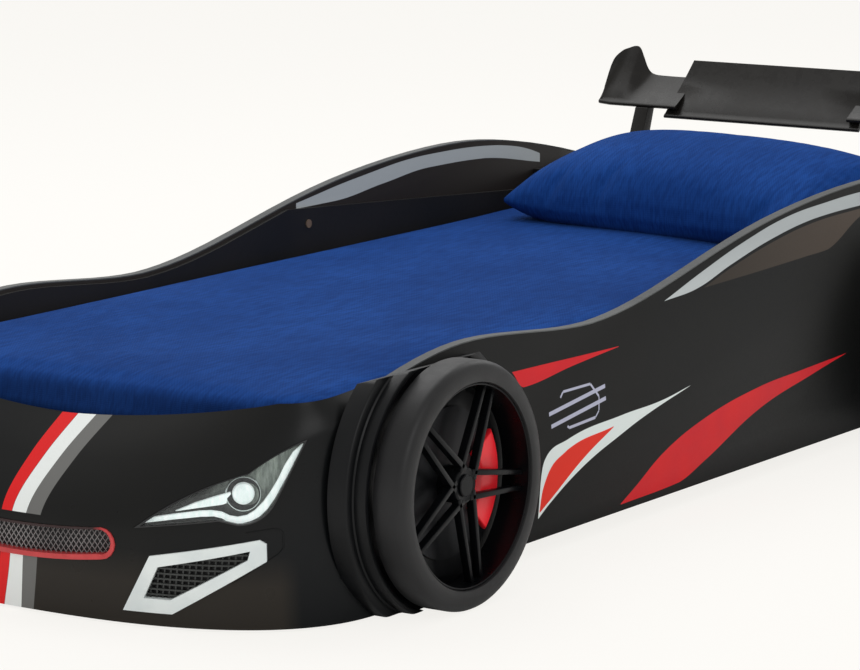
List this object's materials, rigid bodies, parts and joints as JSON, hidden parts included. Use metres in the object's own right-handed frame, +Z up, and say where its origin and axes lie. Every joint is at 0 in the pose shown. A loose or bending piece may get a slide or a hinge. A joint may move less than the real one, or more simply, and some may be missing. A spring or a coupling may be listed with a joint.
{
  "type": "children's race-car bed",
  "caption": "Child's bed shaped like a low race car, with moulded nose, wheels, rear wing, slatted base, mattress and pillow.",
  "frame": {"origin": "on the floor, in the middle of the bed's length and width", "axes": "+Y from the nose towards the head end, +X to the bed's left side, +Z up"},
  "size_m": [1.184, 2.3486, 0.643],
  "materials": {
    "printed_board": "satin, printed",
    "board_dark": "satin",
    "edge_grey": "satin",
    "pine": "bare",
    "hood_black": "gloss, striped",
    "grille_red": "satin",
    "mesh_grey": "satin",
    "lens_clear": "clear",
    "lamp_dark": "gloss",
    "trim_white": "gloss",
    "lamp_white": "gloss",
    "tyre_black": "matt",
    "rim_black": "gloss",
    "disc_grey": "satin",
    "caliper_red": "gloss",
    "wing_black": "satin",
    "glide_black": "matt",
    "sheet_blue": "woven",
    "cap_brown": "matt"
  },
  "bodies": {
    "bed": {"brake_calipers": "caliper_red", "brake_discs": "disc_grey", "centre_beam": "pine", "centre_caps": "rim_black", "centre_legs": "pine", "clip_brackets": "lamp_dark", "corner_board_left": "board_dark", "corner_board_right": "board_dark", "edge_trim_left": "edge_grey", "edge_trim_right": "edge_grey", "feet": "glide_black", "fog_meshes": "mesh_grey", "fog_surrounds": "trim_white", "front_board": "board_dark", "front_clip": "hood_black", "front_ledger": "pine", "grille_mesh": "mesh_grey", "grille_surround": "grille_red", "headboard": "board_dark", "headlight_housings": "lamp_dark", "headlight_lenses": "lens_clear", "inner_liner_left": "board_dark", "inner_liner_right": "board_dark", "light_strips": "lamp_white", "projectors": "lamp_white", "rear_deck": "board_dark", "screw_caps": "cap_brown", "side_panel_left": "printed_board", "side_panel_right": "printed_board", "slat_ledger_left": "pine", "slat_ledger_right": "pine", "slats": "pine", "tail_panel": "board_dark", "tyres": "tyre_black", "wheel_arches": "tyre_black", "wheel_carriers": "lamp_dark", "wheel_rims": "rim_black", "wing": "wing_black", "wing_post_left": "wing_black", "wing_post_right": "wing_black"},
    "mattress": {"mattress": "sheet_blue"},
    "pillow": {"pillow": "sheet_blue"}
  },
  "joints": [
    {"name": "mattress_lift", "type": "slide", "parent": "bed", "child": "mattress", "axis": [0, 0, 1], "range_m": [0, 0.5]},
    {"name": "pillow_lift", "type": "slide", "parent": "mattress", "child": "pillow", "axis": [0, 0, 1], "range_m": [0, 0.5]}
  ]
}
